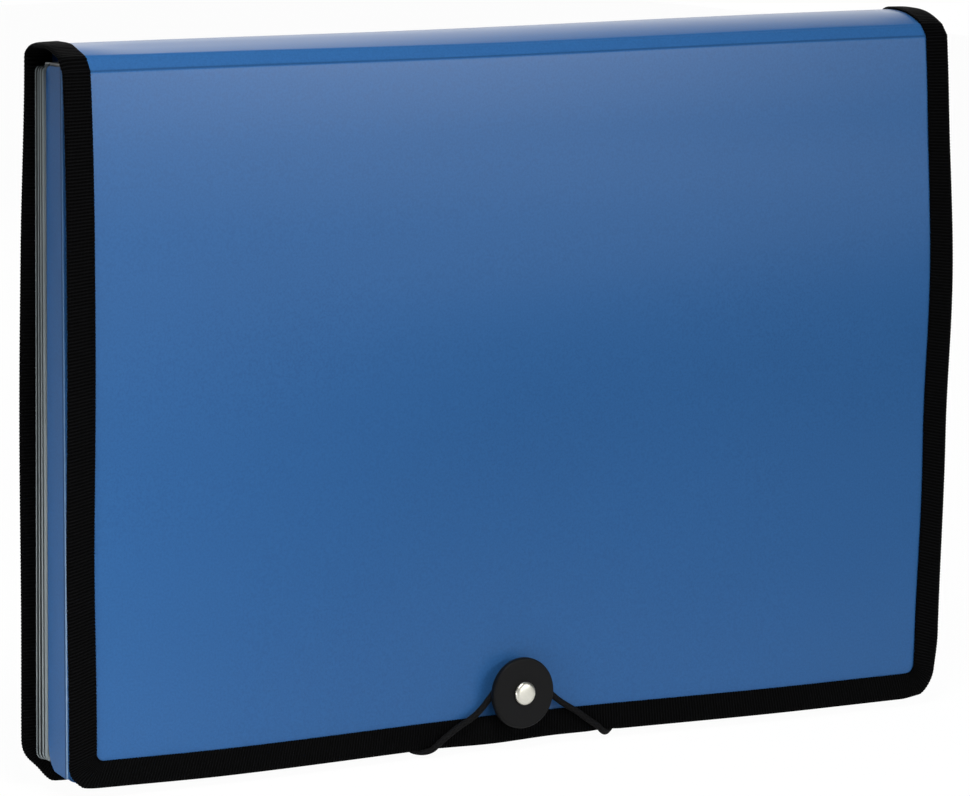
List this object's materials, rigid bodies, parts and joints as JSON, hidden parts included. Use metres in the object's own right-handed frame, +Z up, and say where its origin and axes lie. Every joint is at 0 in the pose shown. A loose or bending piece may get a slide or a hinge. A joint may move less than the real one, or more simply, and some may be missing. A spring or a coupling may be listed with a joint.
{
  "type": "expanding file folder",
  "caption": "Letter-size expanding file folder with bellows pockets, a bound flap cover and a button-and-elastic closure.",
  "frame": {"origin": "under the middle of the folder's bounding box, on the surface it stands on", "axes": "+X to the right along the folder's width, seen from the flap; +Y to the back, through its thickness; +Z up, from the standing edge to the domed top"},
  "size_m": [0.33, 0.0318, 0.2286],
  "materials": {
    "pp_blue": "fine sand grain, satin",
    "binding_tape": "ribbed woven tape, matte",
    "pocket_film": "clear film, satin",
    "divider_sheet": "frosted sheet",
    "label_paper": "plain white",
    "button_plastic": "matte, moulded",
    "nickel": "nickel plated",
    "elastic": "braided elastic cord"
  },
  "bodies": {
    "back": {"back_panel": "pp_blue", "back_tape": "binding_tape"},
    "top": {"top_panel": "pp_blue", "top_tape_left": "binding_tape", "top_tape_right": "binding_tape"},
    "flap": {"flap_panel": "pp_blue", "flap_tape": "binding_tape", "button_spacer": "button_plastic", "button_rivet": "nickel", "button_washer": "nickel"},
    "button": {"button_disc": "button_plastic"},
    "pocket_1": {"divider_1": "divider_sheet", "index_label_1": "label_paper", "gusset_1": "pocket_film"},
    "pocket_2": {"divider_2": "divider_sheet", "index_label_2": "label_paper", "gusset_2": "pocket_film"},
    "pocket_3": {"divider_3": "divider_sheet", "index_label_3": "label_paper", "gusset_3": "pocket_film"},
    "pocket_4": {"divider_4": "divider_sheet", "index_label_4": "label_paper", "gusset_4": "pocket_film"},
    "pocket_5": {"front_panel": "pp_blue", "gusset_5": "pocket_film", "cord_barb_left": "nickel", "cord_barb_right": "nickel"},
    "cord": {"cord_loop": "elastic"}
  },
  "joints": [
    {"name": "cover_fold", "type": "hinge", "parent": "back", "child": "top", "pos_m": [0, 0.0161, 0.2204], "axis": [-1, 0, 0], "range_deg": [0, 180]},
    {"name": "flap_crease", "type": "hinge", "parent": "top", "child": "flap", "pos_m": [0, -0.00924, 0.21972], "axis": [-1, 0, 0], "range_deg": [0, 33]},
    {"name": "button_spin", "type": "hinge", "parent": "flap", "child": "button", "pos_m": [0, -0.0114, 0.0184], "axis": [0, -1, 0], "continuous": true},
    {"name": "pocket_1_slide", "type": "slide", "parent": "back", "child": "pocket_1", "axis": [0, -1, 0], "range_m": [0, 0.01], "deforming": ["gusset_1"]},
    {"name": "pocket_2_slide", "type": "slide", "parent": "pocket_1", "child": "pocket_2", "axis": [0, -1, 0], "range_m": [0, 0.01], "deforming": ["gusset_2"]},
    {"name": "pocket_3_slide", "type": "slide", "parent": "pocket_2", "child": "pocket_3", "axis": [0, -1, 0], "range_m": [0, 0.01], "deforming": ["gusset_3"]},
    {"name": "pocket_4_slide", "type": "slide", "parent": "pocket_3", "child": "pocket_4", "axis": [0, -1, 0], "range_m": [0, 0.01], "deforming": ["gusset_4"]},
    {"name": "pocket_5_slide", "type": "slide", "parent": "pocket_4", "child": "pocket_5", "axis": [0, -1, 0], "range_m": [0, 0.01], "deforming": ["gusset_5"]},
    {"name": "cord_unhook", "type": "hinge", "parent": "pocket_5", "child": "cord", "pos_m": [0, -0.0087, 0.0011], "axis": [1, 0, 0], "range_deg": [0, 80], "deforming": ["cord_loop"]}
  ],
  "couplings": [
    {"joint": "pocket_2_slide", "follows": "pocket_1_slide", "ratio": 1},
    {"joint": "pocket_3_slide", "follows": "pocket_1_slide", "ratio": 1},
    {"joint": "pocket_4_slide", "follows": "pocket_1_slide", "ratio": 1},
    {"joint": "pocket_5_slide", "follows": "pocket_1_slide", "ratio": 1},
    {"joint": "cover_fold", "follows": "pocket_1_slide", "rad_per_m": 314.15},
    {"joint": "flap_crease", "follows": "pocket_1_slide", "rad_per_m": 57.59},
    {"joint": "cord_unhook", "follows": "pocket_1_slide", "rad_per_m": 139.6}
  ]
}
